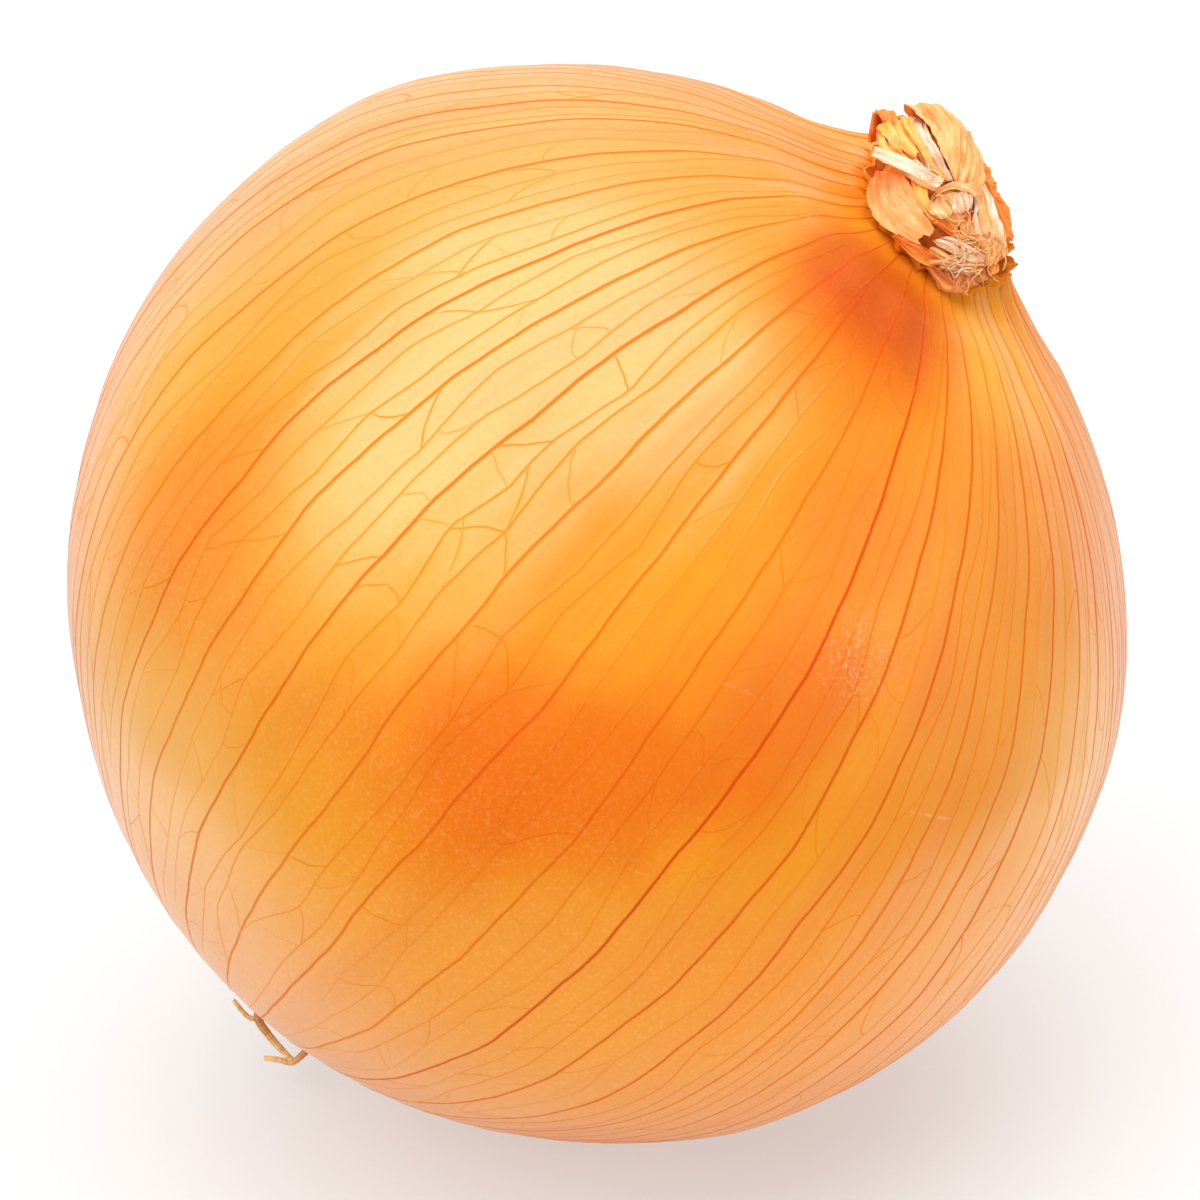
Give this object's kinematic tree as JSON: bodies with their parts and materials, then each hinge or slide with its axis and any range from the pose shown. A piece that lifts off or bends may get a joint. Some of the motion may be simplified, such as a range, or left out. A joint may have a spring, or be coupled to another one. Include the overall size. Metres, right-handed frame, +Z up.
{
  "type": "yellow onion",
  "caption": "Whole yellow onion in its dry skin, lying on its side, with a gathered neck, a twist of withered leaves and dry root stubs.",
  "frame": {"origin": "on the surface that the onion lies on, under the middle of its box", "axes": "+Z up from the resting surface, +X towards the side that the neck leans to, +Y away from the pictured side"},
  "size_m": [0.088, 0.0908, 0.0878],
  "materials": {
    "skin": "thin dry skin, satin, amber to deep orange with fine reddish veins",
    "dry_leaf": "withered leaf, dry and fibrous, tan to straw",
    "root": "corky plate and dry root stubs, matt"
  },
  "bodies": {
    "root": {"bulb": "skin", "dry_neck": "dry_leaf", "roots": "root"}
  },
  "joints": []
}
